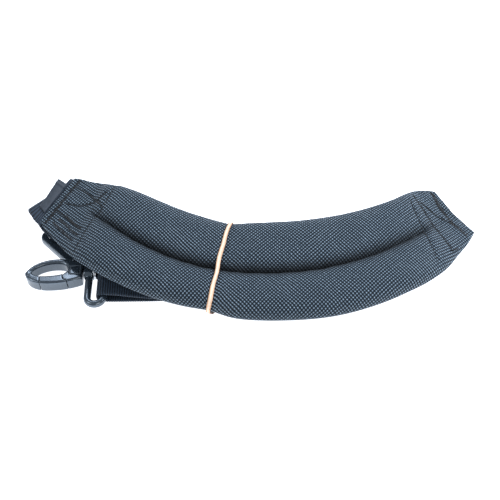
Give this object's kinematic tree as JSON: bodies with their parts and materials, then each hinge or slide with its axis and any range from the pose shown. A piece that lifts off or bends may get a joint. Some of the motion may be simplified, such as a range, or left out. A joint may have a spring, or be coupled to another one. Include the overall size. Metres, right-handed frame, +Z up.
{
  "type": "camera neck strap",
  "caption": "Curved padded neck strap with webbing ends, sliders and swivel snap hooks, folded flat and held by a rubber band",
  "frame": {"origin": "middle of the folded strap's footprint, on the surface that it lies on", "axes": "+X along the strap from the end with the visible hook to the other end, +Y towards the concave edge of the pad, +Z up"},
  "size_m": [0.2782, 0.1158, 0.0296],
  "materials": {
    "pad_cloth": "coarse ballistic weave",
    "webbing": "ribbed woven webbing",
    "label_cloth": "satin woven label",
    "black_plastic": "glossy moulded",
    "steel": "bright turned",
    "rubber": "pale natural rubber"
  },
  "bodies": {
    "root": {"neck_pad": "pad_cloth", "webbing_left": "webbing", "webbing_right": "webbing", "slider_left": "black_plastic", "slider_right": "black_plastic", "end_label": "label_cloth", "rubber_band": "rubber", "hook_loop": "black_plastic", "hidden_hook": "black_plastic"},
    "hook": {"hook_body": "black_plastic", "swivel_post": "steel"},
    "gate": {"hook_gate": "black_plastic"}
  },
  "joints": [
    {"name": "hook_swivel", "type": "hinge", "parent": "root", "child": "hook", "pos_m": [-0.09707, -0.01527, 0.00735], "axis": [0.9969, 0, 0.0785], "continuous": true},
    {"name": "gate_hinge", "type": "hinge", "parent": "hook", "child": "gate", "pos_m": [-0.10963, -0.01917, 0.00636], "axis": [0.0785, 0, -0.9969], "range_deg": [0, 22], "stiffness_Nm_per_rad": 0.03, "springref_deg": -5.73}
  ]
}
